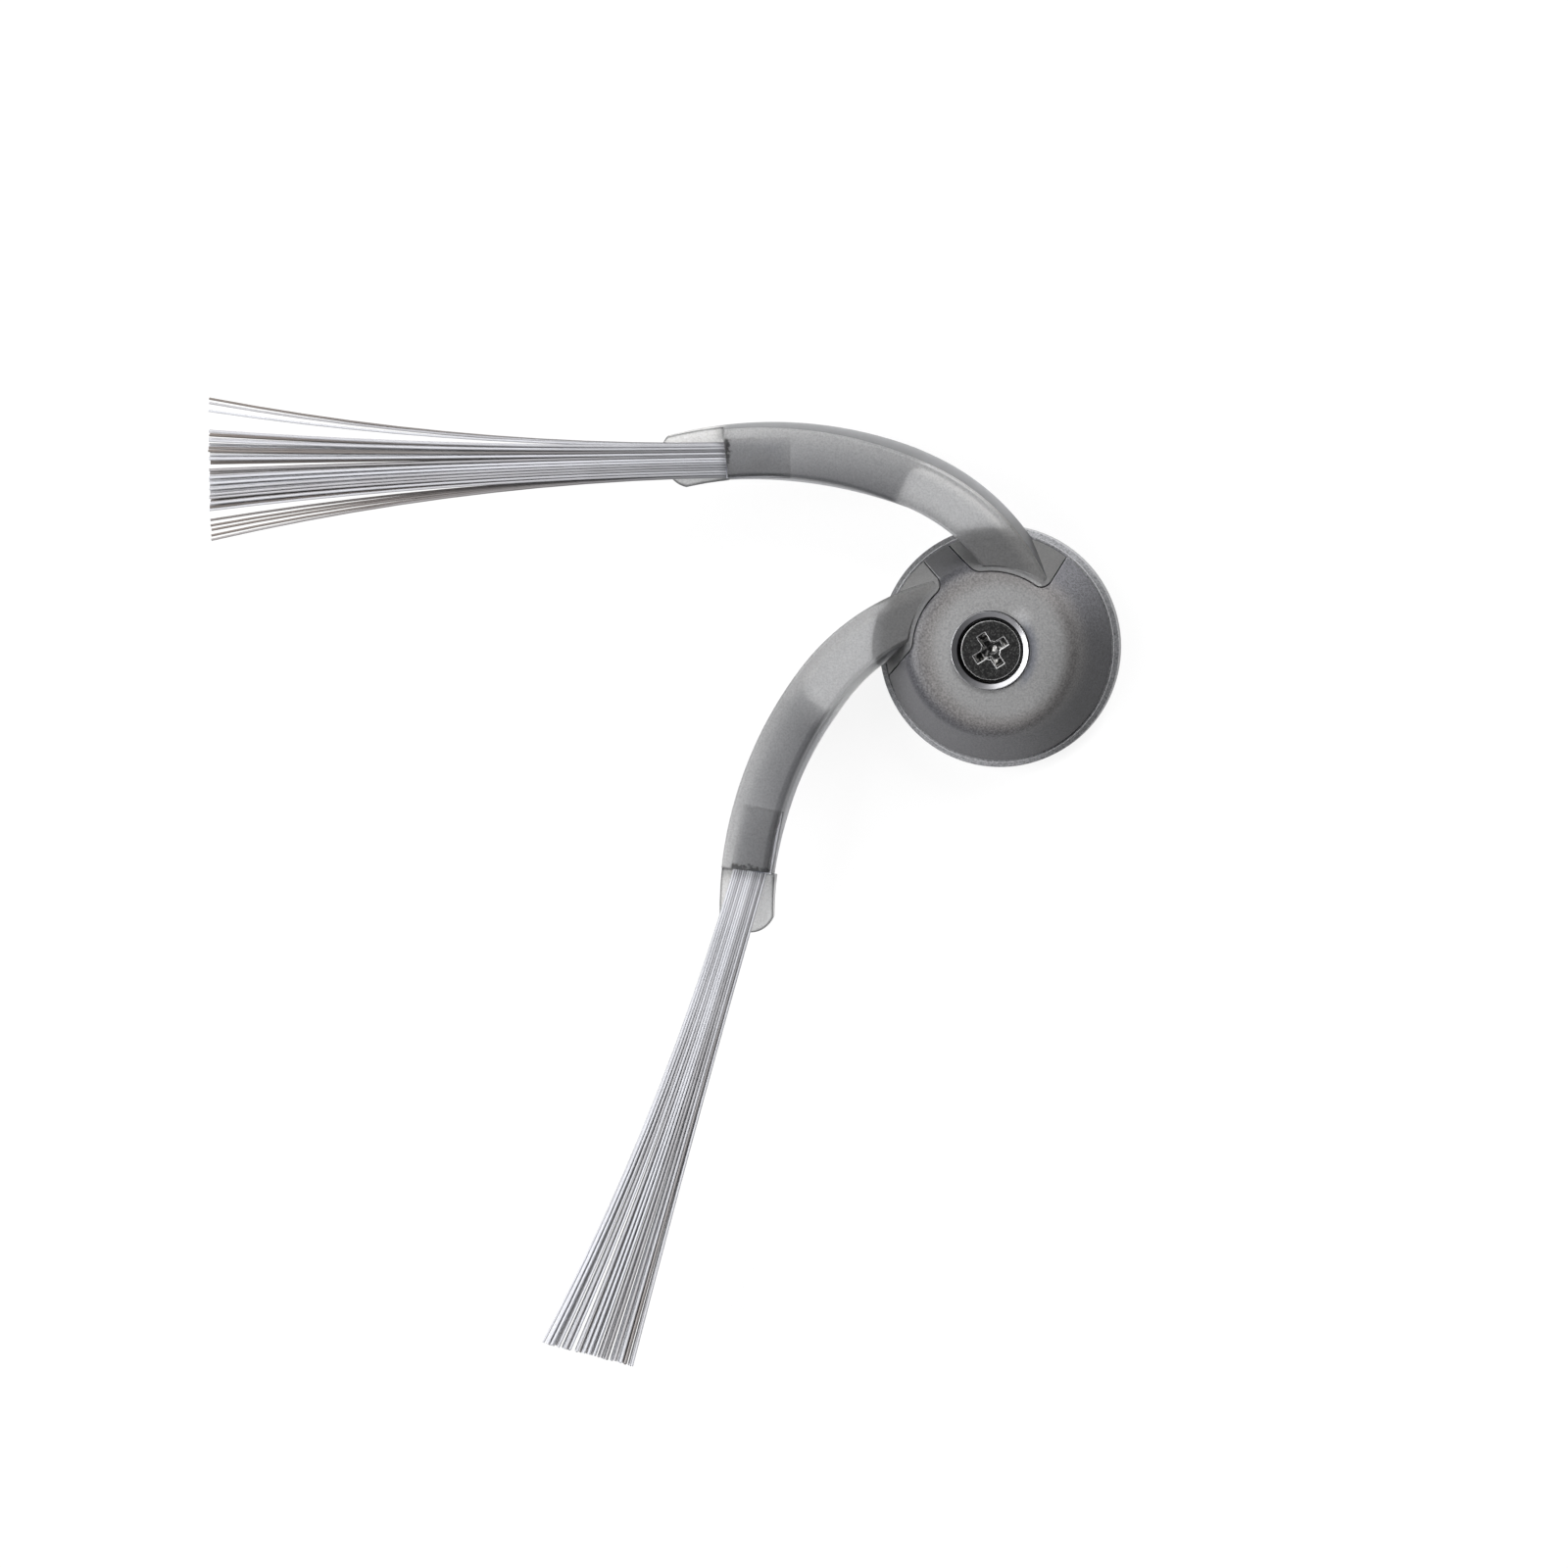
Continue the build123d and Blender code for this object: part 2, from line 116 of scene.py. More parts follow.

# Hub, with the directions of its painted dark side, of the painted shadow in the nook between the arms and
# of its painted sheen
plateau_radius = 7.4 * mm
pale_center = (1.0 * mm, 0.0, 0.0)
# Middle of the painted gleam, a reflection of light, beside the cup
gleam_center = (3.1 * mm, 3.3 * mm, 0.0)
screw_face_height = 9.1 * mm
recess_radius = 1.95 * mm
lee_direction = -14.0
nook_direction = 135.0
sheen_direction = 52.0

# Moulded grain of the plastic
grain_scale = 5200.0

# Colours of the hub
# The crown's paler grey and the slope's darker grey are painted light and shade
crown_grey = (0.165, 0.165, 0.165, 1.0)
slope_grey = (0.063, 0.063, 0.069, 1.0)
rim_grey = (0.23, 0.232, 0.24, 1.0)
border_brown = (0.125, 0.11, 0.1, 1.0)
# Painted dark reflection of the cup's sleeve, and a painted reflection of light beside it
painted_cup_reflection_blue = (0.085, 0.09, 0.11, 1.0)
gleam_grey = (0.34, 0.34, 0.34, 1.0)
# Painted highlight on sharp edges of the hub and its rim
painted_highlight_grey = (0.75, 0.75, 0.77, 1.0)

# Colours of the arms
bar_grey = (0.68, 0.68, 0.68, 1.0)
# Painted shade inside each arm's bend
painted_bend_shade_grey = (0.33, 0.33, 0.34, 1.0)
# Painted light on each arm's outer side, its neck wall and along its inner side
painted_light_white = (0.98, 0.97, 0.95, 1.0)
painted_side_light_white = (0.9, 0.9, 0.92, 1.0)
# Painted shade along each arm's crease
painted_crease_shade_black = (0.1, 0.1, 0.11, 1.0)
# Painted shade on the upright wall, over the hub, and on the wall where it lies over the hub
painted_wall_shade_grey = (0.25, 0.255, 0.27, 1.0)
painted_over_hub_shade_grey = (0.30, 0.30, 0.31, 1.0)
painted_foot_wall_shade_black = (0.09, 0.095, 0.115, 1.0)
# Painted shade at the socket's mouth, in the hollows beside the tuft and along the lip's outline
painted_mouth_shade_black = (0.06, 0.06, 0.065, 1.0)
painted_hollow_shade_black = (0.1, 0.1, 0.105, 1.0)
painted_lip_outline_black = (0.035, 0.035, 0.037, 1.0)
smoke = (0.80, 0.803, 0.81, 1.0)
smoke_density = 1000.0

# Colours of the cup and the screw
steel_dark = (0.30, 0.30, 0.31, 1.0)
steel_light = (0.38, 0.38, 0.39, 1.0)
nickel_dark = (0.040, 0.040, 0.040, 1.0)
nickel_light = (0.12, 0.12, 0.118, 1.0)
nickel_fleck = (0.85, 0.84, 0.82, 1.0)
# Painted highlight on the screw's edges
nickel_painted_highlight = (0.88, 0.88, 0.88, 1.0)

# Colours of the bristles
nylon_cool = (0.115, 0.117, 0.125, 1.0)
nylon_warm = (0.14, 0.12, 0.108, 1.0)
nylon_light = (0.42, 0.425, 0.45, 1.0)
nylon_root = (0.085, 0.095, 0.13, 1.0)

# Picture
view_target = Vector((-22.13, -14.17, 0.8)) * mm
view_direction = Vector((0.1274, 0.0567, 1.0)).normalized()
view_distance = 3.0
view_field = 0.1593
sensor_width = 36.0
floor_size = 6.0
floor_gap = 0.02 * mm
floor_grey = (0.85, 0.85, 0.85, 1.0)
floor_whiteness = 0.88

# Lamps: place, size, power, whether they light the brush and whether they are mirrored in it
lamps = {
    "left_lamp": (Vector((-0.58, 0.0, 0.55)), 0.5, 8.0, True, True),
    "right_lamp": (Vector((0.30, 0.60, 0.55)), 0.4, 9.0, True, False),
    "upper_panel": (Vector((-0.35, 0.46, 0.55)), 0.5, 2.4, False, True),
}


def polar(radius, angle):
    return Vector((radius * cos(radians(angle)), radius * sin(radians(angle)), 0.0))


root_center = polar(root_arc_center_distance, root_arc_center_direction)
reach_center = root_center - polar(reach_arc_radius - root_arc_radius, bend_angle)
mouth_center = reach_center + polar(reach_arc_radius - tuft_offset, mouth_angle)


class Socket:
    """An output socket that takes part in Python expressions and adds Math nodes to its tree."""

    def __init__(self, tree, output):
        self.tree = tree
        self.output = output

    def math(self, operation, *values):
        inputs = {index: value for index, value in enumerate(values)}
        return self.tree.add("ShaderNodeMath", {"operation": operation}, inputs)

    def __add__(self, other):
        return self.math("ADD", self, other)

    def __radd__(self, other):
        return self.math("ADD", other, self)

    def __sub__(self, other):
        return self.math("SUBTRACT", self, other)

    def __rsub__(self, other):
        return self.math("SUBTRACT", other, self)

    def __mul__(self, other):
        return self.math("MULTIPLY", self, other)

    def __rmul__(self, other):
        return self.math("MULTIPLY", other, self)

    def __truediv__(self, other):
        return self.math("DIVIDE", self, other)

    def __rtruediv__(self, other):
        return self.math("DIVIDE", other, self)

    def __pow__(self, other):
        return self.math("POWER", self, other)

    def __abs__(self):
        return self.math("ABSOLUTE", self)


class Tree:
    """A node tree, whose nodes all come from one method."""

    def __init__(self, node_tree):
        self.node_tree = node_tree

    def add(self, kind, settings, inputs, output=0):
        """Makes a node, sets its settings, then its sockets' values and links, and returns one output."""
        node = self.node_tree.nodes.new(kind)
        for name, value in settings.items():
            setattr(node, name, value)
        for name, value in inputs.items():
            if isinstance(value, Socket):
                self.node_tree.links.new(value.output, node.inputs[name])
            else:
                node.inputs[name].default_value = value
        return Socket(self, node.outputs[output]) if node.outputs else None

    def axis(self, place, name):
        return self.add("ShaderNodeSeparateXYZ", {}, {"Vector": place}, name)


class Finish(Tree):
    """A node material, with the patterns that the brush's finishes share."""

    def __init__(self, name):
        self.material = bpy.data.materials.new(name)
        self.material.use_nodes = True
        super().__init__(self.material.node_tree)
        self.node_tree.nodes.clear()

    @cached_property
    def place(self):
        return self.add("ShaderNodeTexCoord", {}, {}, "Object")

    def noise(self, scale, detail=2.0, roughness=0.5):
        sockets = {"Vector": self.place, "Scale": scale, "Detail": detail, "Roughness": roughness}
        return self.add("ShaderNodeTexNoise", {}, sockets, "Fac")

    def grain(self):
        return self.noise(grain_scale, 3.0, 0.6)

    def attribute(self, name):
        return self.add("ShaderNodeAttribute", {"attribute_name": name}, {}, "Fac")

    def radius(self, place):
        x = self.axis(place, "X")
        y = self.axis(place, "Y")
        return (x * x + y * y) ** 0.5

    def fade(self, value, start, end):
        """0 before start and 1 after end, with a smooth way between them."""
        settings = {"interpolation_type": "SMOOTHSTEP"}
        return self.add("ShaderNodeMapRange", settings, {"Value": value, "From Min": start, "From Max": end})

    def mix(self, share, first, second):
        settings = {"data_type": "RGBA"}
        return self.add("ShaderNodeMix", settings, {0: share, 6: first, 7: second}, 2)

    def scaled(self, color, share):
        return self.add("ShaderNodeVectorMath", {"operation": "SCALE"}, {0: color, "Scale": share})

    def dot(self, first, second):
        return self.add("ShaderNodeVectorMath", {"operation": "DOT_PRODUCT"}, {0: first, 1: second}, "Value")

    def place_from(self, start):
        return self.add("ShaderNodeVectorMath", {"operation": "SUBTRACT"}, {0: self.place, 1: start})

    def along(self, start, direction):
        """Distance of the surface from a start, along a direction."""
        return self.dot(self.place_from(start), direction)

    def out_of_arc(self, center, radius):
        """Distance of the surface from an arc about an upright axis, positive outside it."""
        return self.radius(self.place_from(center)) - radius

    def soft_edges(self, radius):
        return self.add("ShaderNodeBevel", {"samples": 6}, {"Radius": radius})

    def normal(self):
        return self.add("ShaderNodeNewGeometry", {}, {}, "Normal")

    def edge_mask(self, soft_normal, start, end):
        """1 on edges, where the rounded normal leaves the flat one, and 0 on faces."""
        return 1 - self.fade(self.dot(soft_normal, self.normal()), start, end)

    def bump(self, height, distance, strength, normal=None):
        sockets = {"Height": height, "Distance": distance, "Strength": strength}
        if normal is not None:
            sockets["Normal"] = normal
        return self.add("ShaderNodeBump", {}, sockets)

    def surface(self, sockets, volume=None):
        shader = self.add("ShaderNodeBsdfPrincipled", {}, sockets)
        ends = {"Surface": shader}
        if volume is not None:
            ends["Volume"] = volume
        self.add("ShaderNodeOutputMaterial", {}, ends)
        return self.material


def smoky_hub(name, crown_tint, slope_tint, highlight_share, sheen_share):
    """Satin smoky plastic of the hub, paler on the crown than on the slope as painted light and shade,
    brownish between them, with painted highlights on its sharp edges.
    """
    finish = Finish(name)
    grain = finish.grain()
    cloud = finish.noise(320.0)
    unevenness = (cloud - 0.5) * (0.5 * mm)
    radius = finish.radius(finish.place) + unevenness
    past_crown = finish.out_of_arc(pale_center, plateau_radius) + unevenness
    # Painted light and shade: the crown paler and the slope darker
    slope = finish.fade(past_crown, -1.4 * mm, 1.8 * mm)
    tint = finish.mix(slope, crown_tint, slope_tint)
    tint = finish.mix(slope * (1 - slope) * 1.2, tint, border_brown)
    # Painted reflections of the cup's sleeve: a dark bluish one to its right and a pale gleam to its upper
    # right
    beside_cup = 1 - finish.fade(radius, 4.2 * mm, 5.3 * mm)
    painted_cup_reflection = beside_cup * finish.fade(finish.axis(finish.place, "X"), 2.4 * mm, 3.8 * mm)
    tint = finish.mix(painted_cup_reflection * 0.7, tint, painted_cup_reflection_blue)
    gleam = 1 - finish.fade(finish.out_of_arc(gleam_center, 0.0), 0.2 * mm, 1.6 * mm)
    tint = finish.mix(gleam * 0.4, tint, gleam_grey)

    # Painted shade on the dark side and in the nook between the arms, and a painted sheen
    def towards(direction, start, end):
        return finish.fade(finish.along((0, 0, 0), polar(1, direction)), start, end)

    lee = towards(lee_direction, 4.2 * mm, 10.5 * mm)
    nook = towards(nook_direction, 7.0 * mm, 9.5 * mm)
    sheen = towards(sheen_direction, 6.5 * mm, 10.5 * mm)
    speckle = 1 + (grain - 0.5) * (1.1 + slope * 1.6)
    tint = finish.scaled(tint, speckle * (1 - lee * 0.5) * (1 - nook * 0.55) * (1 + sheen * sheen_share))
    shoulder = finish.fade(radius, 6.4 * mm, 7.0 * mm) * (1 - finish.fade(radius, 8.8 * mm, 9.4 * mm))
    soft = finish.soft_edges(0.12 * mm + shoulder * (0.5 * mm))
    # Painted highlights along sharp edges, away from the shoulder
    sharp = finish.edge_mask(soft, 0.9, 0.995) * (1 - shoulder)
    return finish.surface({
        "Base Color": finish.mix(sharp * highlight_share, tint, painted_highlight_grey),
        "Roughness": 0.36 + (grain - 0.5) * 0.2,
        "Specular IOR Level": 0.22,
        "Normal": finish.bump(grain, 0.02 * mm, 0.3, soft),
    })


class ArmFinish(Finish):
    """The plastic of one arm, with places along the arm's own arcs."""

    def __init__(self, turn):
        super().__init__("arm_plastic")
        spin = Matrix.Rotation(radians(turn), 3, "Z")
        self.cloud = self.noise(260.0)
        self.past_bend = self.along(spin @ root_center, spin @ polar(1, bend_angle + 90))
        self.past_mouth = self.along(spin @ mouth_center, spin @ polar(1, tuft_direction))
        on_reach = self.fade(self.past_bend, -1.0 * mm, 1.0 * mm)
        self.offset = (self.out_of_arc(spin @ reach_center, reach_arc_radius) * on_reach
                       + self.out_of_arc(spin @ root_center, root_arc_radius) * (1 - on_reach))
        self.lip = self.fade(self.past_mouth, -0.2 * mm, 0.4 * mm)

    def bar(self, dark_reach, dark_start, crease_offset):
        """Tint of the bar, in painted light and shade: dark past the neck inside its bend, light on the
        outside, and creased.
        """
        # Painted shade inside the bend past the neck
        inside = 1 - self.fade(self.offset + (self.cloud - 0.5) * (1.2 * mm), -3.2 * mm, dark_reach)
        outer = self.fade(self.past_bend, 1.6 * mm, dark_start) * (1 - self.lip)
        socket = self.fade(self.past_mouth, -7.2 * mm, -5.8 * mm)
        tint = self.mix(inside * outer * (1 - socket * 0.3), bar_grey, painted_bend_shade_grey)
        # Painted light on the outer side past the bend, on the neck's wall and along the inner side
        bright = self.fade(self.offset, 0.4 * mm, 2.2 * mm) * outer
        neck_wall = self.fade(self.offset, 0.6 * mm, 1.8 * mm) * (1 - outer)
        tint = self.mix(bright * 0.6 + neck_wall * 0.9, tint, painted_light_white)
        side = 1 - self.fade(self.offset, -2.85 * mm, -2.65 * mm)
        tint = self.mix(side * outer, tint, painted_side_light_white)
        # Painted shade in the crease
        crease = 1 - self.fade(abs(self.offset - crease_offset), 0.15 * mm, 0.45 * mm)
        return self.mix(crease * outer * 0.6, tint, painted_crease_shade_black)

    def walls(self, tint):
        """Paints shade on the upright outer wall and on what lies over the hub."""
        upright = 1 - self.fade(self.axis(self.normal(), "Z"), 0.15, 0.35)
        wall = self.fade(self.offset, 2.2 * mm, 2.35 * mm) * upright
        tint = self.mix(wall * (1 - self.lip), tint, painted_wall_shade_grey)
        over_hub = 1 - self.fade(self.radius(self.place), 11.0 * mm, 13.0 * mm)
        tint = self.mix(over_hub * 0.35, tint, painted_over_hub_shade_grey)
        return self.mix(wall * over_hub, tint, painted_foot_wall_shade_black)

    def mouth(self, tint):
        """Paints shade on the socket's ragged mouth, in the hollows beside the tuft and along the outline of
        the lip.
        """
        across_tuft = 1 - self.fade(abs(self.offset + tuft_offset), 1.8 * mm, 2.1 * mm)
        ragged = self.past_mouth + (self.noise(2200.0) - 0.5) * (1.6 * mm)
        edge = self.fade(ragged, -0.6 * mm, -0.25 * mm) * (1 - self.fade(self.past_mouth, 0.0, 0.2 * mm))
        tint = self.mix(edge * across_tuft * (0.3 + self.cloud), tint, painted_mouth_shade_black)
        beside_mouth = 1 - self.fade(self.past_mouth, 0.2 * mm, 1.7 * mm)
        hollow = self.fade(self.past_mouth, -0.1 * mm, 0.1 * mm) * beside_mouth
        tint = self.mix(hollow * (1 - across_tuft) * 0.5, tint, painted_hollow_shade_black)
        outline = self.edge_mask(self.soft_edges(0.5 * mm), 0.86, 0.99)
        return self.mix(outline * self.lip, tint, painted_lip_outline_black)


def smoky_arm(turn, dark_reach, dark_start, crease_offset):
    """Satin translucent plastic of an arm, which the light passes through."""
    finish = ArmFinish(turn)
    grain = finish.grain()
    tint = finish.mouth(finish.walls(finish.bar(dark_reach, dark_start, crease_offset)))
    volume = finish.add("ShaderNodeVolumeAbsorption", {}, {"Color": smoke, "Density": smoke_density})
    return finish.surface({
        "Base Color": finish.scaled(tint, 0.45 + grain * 1.1),
        "Roughness": 0.42 + (grain - 0.5) * 0.2,
        "IOR": 1.42,
        "Transmission Weight": 0.88,
        "Normal": finish.bump(grain, 0.02 * mm, 0.35, finish.soft_edges(0.15 * mm)),
    }, volume)


def polished_steel():
    """Bright drawn steel of the cup."""
    finish = Finish("polished_steel")
    streak = finish.noise(2400.0)
    return finish.surface({
        "Base Color": finish.mix(streak, steel_dark, steel_light),
        "Metallic": 1.0,
        "Roughness": 0.26 + streak * 0.12,
        "Normal": finish.bump(streak, 0.01 * mm, 0.1, finish.soft_edges(0.1 * mm)),
    })


def dark_nickel():
    """Dark plated steel of the screw, with painted highlights on its edges, and flecked in its recess."""
    finish = Finish("dark_steel")
    grain = finish.noise(6000.0, 3.0, 0.65)
    soft = finish.soft_edges(0.15 * mm)
    # Painted highlights on the edges
    edge = finish.edge_mask(soft, 0.86, 0.995)
    plating = finish.mix(finish.fade(grain, 0.45, 0.7), nickel_dark, nickel_light)
    height = finish.axis(finish.place, "Z")
    sunk = 1 - finish.fade(height, screw_face_height - 0.3 * mm, screw_face_height - 0.1 * mm)
    recess = sunk * (1 - finish.fade(finish.radius(finish.place), recess_radius, recess_radius + 0.1 * mm))
    fleck = finish.fade(finish.noise(1300.0, 1.0), 0.48, 0.58)
    metal = finish.mix(recess * fleck, plating, nickel_fleck)
    return finish.surface({
        "Base Color": finish.mix(edge, metal, nickel_painted_highlight),
        "Metallic": 1 - edge * 0.8,
        "Roughness": 0.34 + (grain - 0.5) * 0.2,
        "Normal": finish.bump(grain, 0.015 * mm, 0.3, soft),
    })


def grey_nylon():
    """Bristle nylon: filaments of different greys, browner towards their tips, and a dark fused root."""
    finish = Finish("bristle")
    drift = finish.noise(130.0, 1.0)
    dark = finish.mix(finish.attribute("warm"), nylon_cool, nylon_warm)
    grey = finish.mix(finish.attribute("tone") + (drift - 0.5) * 0.5, dark, nylon_light)
    return finish.surface({
        "Base Color": finish.mix(finish.attribute("root"), grey, nylon_root),
        "Roughness": 0.38 + drift * 0.15,
        "IOR": 1.5,
        "Normal": finish.bump(drift, 0.02 * mm, 0.2),
    })


def tuft_place(turn):
    """Matrix from a tuft's own frame, with Z along the bristles and Y up, to its place on an arm."""
    mouth = mouth_center - Vector((0, 0, tuft_middle))
    across = polar(1, tuft_direction + 90)
    along = polar(1, tuft_direction)
    flat = Matrix((across, along.cross(across), along)).transposed().to_4x4()
    rise_axis = polar(1, arm_rise_direction).cross(Vector((0, 0, 1)))
    raised = Matrix.Rotation(radians(arm_rise), 4, rise_axis)
    lifted = Matrix.Translation((0, 0, arm_face_height))
    return Matrix.Rotation(radians(turn), 4, "Z") @ lifted @ raised @ Matrix.Translation(mouth) @ flat


class Growth(Tree):
    """A Geometry Nodes tree with named inputs, which grows one piece."""

    def __init__(self, name, inputs):
        group = bpy.data.node_groups.new(name, "GeometryNodeTree")
        super().__init__(group)
        for label, kind in inputs.items():
            group.interface.new_socket(label, in_out="INPUT", socket_type=kind)
        group.interface.new_socket("Geometry", in_out="OUTPUT", socket_type="NodeSocketGeometry")
        self.entry = self.add("NodeGroupInput", {}, {}).output.node

    def given(self, label):
        return Socket(self, self.entry.outputs[label])

    def stored(self, geometry, name, value):
        settings = {"data_type": "FLOAT", "domain": "POINT"}
        inputs = {"Geometry": geometry, "Name": name, "Value": value}
        return self.add("GeometryNodeStoreNamedAttribute", settings, inputs)

    def read(self, name):
        return self.add("GeometryNodeInputNamedAttribute", {"data_type": "FLOAT"}, {"Name": name})

    def position(self, name):
        return self.axis(self.add("GeometryNodeInputPosition", {}, {}), name)

    def vector(self, **axes):
        return self.add("ShaderNodeCombineXYZ", {}, axes)

    def wire(self, curve, sides, radius):
        """A tube with closed ends along a curve."""
        ring = self.add("GeometryNodeCurvePrimitiveCircle", {}, {"Resolution": sides, "Radius": radius})
        sockets = {"Curve": curve, "Profile Curve": ring, "Fill Caps": True}
        return self.add("GeometryNodeCurveToMesh", {}, sockets)

    def close(self, geometry):
        real = self.add("GeometryNodeRealizeInstances", {}, {"Geometry": geometry})
        sockets = {"Geometry": real, "Material": self.given("Material")}
        self.add("NodeGroupOutput", {}, {"Geometry": self.add("GeometryNodeSetMaterial", {}, sockets)})

    def grow(self, name, values, place):
        """Runs the tree with these values and returns its result as a plain mesh object."""
        piece = bpy.data.objects.new(name, bpy.data.meshes.new(name))
        bpy.context.scene.collection.objects.link(piece)
        modifier = piece.modifiers.new(name, "NODES")
        modifier.node_group = self.node_tree
        for item in self.node_tree.interface.items_tree:
            if item.in_out == "INPUT":
                modifier[item.identifier] = values[item.name]
        depsgraph = bpy.context.evaluated_depsgraph_get()
        mesh = bpy.data.meshes.new_from_object(piece.evaluated_get(depsgraph))
        piece.modifiers.remove(modifier)
        mesh.transform(place)
        piece.data = mesh
        return piece


class BristleGrowth(Growth):
    """Filaments that leave a fused root in rows and columns, lean and bend out into groups of a fan."""

    def __init__(self, groups):
        super().__init__("bristle_growth", {
            "Columns": "NodeSocketInt",
            "Rows": "NodeSocketInt",
            "Root Width": "NodeSocketFloat",
            "Root Height": "NodeSocketFloat",
            "Root Length": "NodeSocketFloat",
            "Lane Width": "NodeSocketFloat",
            "Lane Shift": "NodeSocketFloat",
            "Length": "NodeSocketFloat",
            "Lean": "NodeSocketFloat",
            "Bend": "NodeSocketFloat",
            "Thickness": "NodeSocketFloat",
            "Waver": "NodeSocketFloat",
            "Slant": "NodeSocketFloat",
            "Darkest": "NodeSocketFloat",
            "Streaks": "NodeSocketFloat",
            "Radius": "NodeSocketFloat",
            "Seed": "NodeSocketInt",
            "Material": "NodeSocketMaterial",
        })
        tuft = self.add("GeometryNodeJoinGeometry", {}, {"Geometry": self.filaments(self.fan(groups))})
        self.node_tree.links.new(self.root().output, tuft.output.node.inputs["Geometry"])
        self.close(tuft)

    def chance(self, salt):
        inputs = {2: -1.0, 3: 1.0, "Seed": self.given("Seed") + salt}
        return self.add("FunctionNodeRandomValue", {"data_type": "FLOAT"}, inputs, 1)

    def fan(self, groups):
        """A point for each filament, with its root, its tip and its tone."""
        columns = self.given("Columns")
        rows = self.given("Rows")
        waver = self.given("Waver")
        index = self.add("GeometryNodeInputIndex", {}, {})
        column = index.math("FLOOR", index / rows)
        row = index - column * rows
        stagger = (row + 0.5) / rows - 0.5
        lane = ((column + 0.5 + stagger * 0.8) / columns - 0.5) * 2
        level = ((row + 0.5) / rows - 0.5) * 2
        share = lane / 2 + 0.5
        begin = 0.0
        tip_x = 0.0
        # Painted shade: the lower rows are darker, as in the shade between strands; each group then adds its
        # own darkness
        dark = (1 - level) * 0.12
        for end, first, last, darkness in groups:
            inside = share.math("GREATER_THAN", share, begin) * share.math("LESS_THAN", share, end)
            tip_x = tip_x + inside * (first + (share - begin) * ((last - first) / (end - begin)))
            dark = dark + inside * darkness
            begin = end
        streak = self.add("ShaderNodeTexNoise", {"noise_dimensions": "1D"}, {
            "W": share * self.given("Streaks") + self.given("Seed"), "Scale": 1.0, "Detail": 1.0,
        })
        pale = self.add("ShaderNodeMapRange", {}, {
            "Value": streak, "From Min": 0.38, "From Max": 0.56, "To Min": self.given("Darkest"),
        })
        trim = (self.chance(3) + 1) * 0.08 * mm
        points = self.add("GeometryNodePoints", {}, {"Count": columns * rows})
        for name, value in {
            "root_x": lane * (self.given("Lane Width") / 2) + self.given("Lane Shift"),
            "root_y": level * (self.given("Root Height") / 2 - self.given("Radius")),
            "tip_x": tip_x + self.given("Bend") + self.chance(1) * waver,
            "tip_y": level * self.given("Thickness") / 2 + self.chance(2) * waver,
            "tip_z": self.given("Length") - trim + lane * self.given("Slant"),
            "tone": pale - dark + self.chance(4) * 0.12,
        }.items():
            points = self.stored(points, name, value)
        return points

    def filaments(self, points):
        """A round filament from each point's root to its tip, lighter and warmer on its way out."""
        line = self.add("GeometryNodeCurvePrimitiveLine", {}, {"Start": (0, 0, 0), "End": (0, 0, 1)})
        line = self.add("GeometryNodeResampleCurve", {}, {"Curve": line, "Count": bristle_segments})
        lines = self.add("GeometryNodeInstanceOnPoints", {}, {"Points": points, "Instance": line})
        lines = self.add("GeometryNodeRealizeInstances", {}, {"Geometry": lines})
        step = self.position("Z")
        lines = self.stored(lines, "tone", self.read("tone") + step * 0.42 - 0.22)
        lines = self.stored(lines, "warm", step)
        out = step ** 2.0
        root_x = self.read("root_x")
        root_y = self.read("root_y")
        place = self.vector(
            X=root_x + (self.read("tip_x") - root_x) * out + self.given("Lean") * step,
            Y=root_y + (self.read("tip_y") - root_y) * out,
            Z=step * self.read("tip_z"),
        )
        lines = self.add("GeometryNodeSetPosition", {}, {"Geometry": lines, "Position": place})
        wires = self.wire(lines, bristle_sides, self.given("Radius"))
        return self.add("GeometryNodeSetShadeSmooth", {}, {"Geometry": wires})

    def root(self):
        """Fused root in the socket, dark in its middle and paler at its sides and its inner end."""
        width = self.given("Root Width")
        length = self.given("Root Length")
        size = self.vector(X=width, Y=self.given("Root Height"), Z=length)
        block = self.add("GeometryNodeMeshCube", {}, {"Size": size, "Vertices X": 9, "Vertices Z": 11})
        side = self.position("X")
        depth = self.position("Z")
        border = side.math("MINIMUM", width / 2 - abs(side), length / 2 + depth)
        shade = self.add("ShaderNodeMapRange", {}, {"Value": border, "From Max": 1.0 * mm})
        block = self.stored(block, "root", shade)
        sockets = {"Geometry": block, "Translation": self.vector(Z=length * -0.5)}
        block = self.add("GeometryNodeTransform", {}, sockets)
        return self.stored(block, "tone", 0.8)


def thread_growth():
    """Ridge that winds round a screw's shank."""
    tree = Growth("thread_growth", {
        "Radius": "NodeSocketFloat",
        "Turns": "NodeSocketFloat",
        "Height": "NodeSocketFloat",
        "Ridge": "NodeSocketFloat",
        "Material": "NodeSocketMaterial",
    })
    winding = tree.add("GeometryNodeCurveSpiral", {}, {
        "Resolution": 36,
        "Rotations": tree.given("Turns"),
        "Start Radius": tree.given("Radius"),
        "End Radius": tree.given("Radius"),
        "Height": tree.given("Height"),
    })
    tree.close(tree.wire(winding, 4, tree.given("Ridge")))
    return tree


def paint(piece, material):
    piece.data.materials.clear()
    piece.data.materials.append(material)


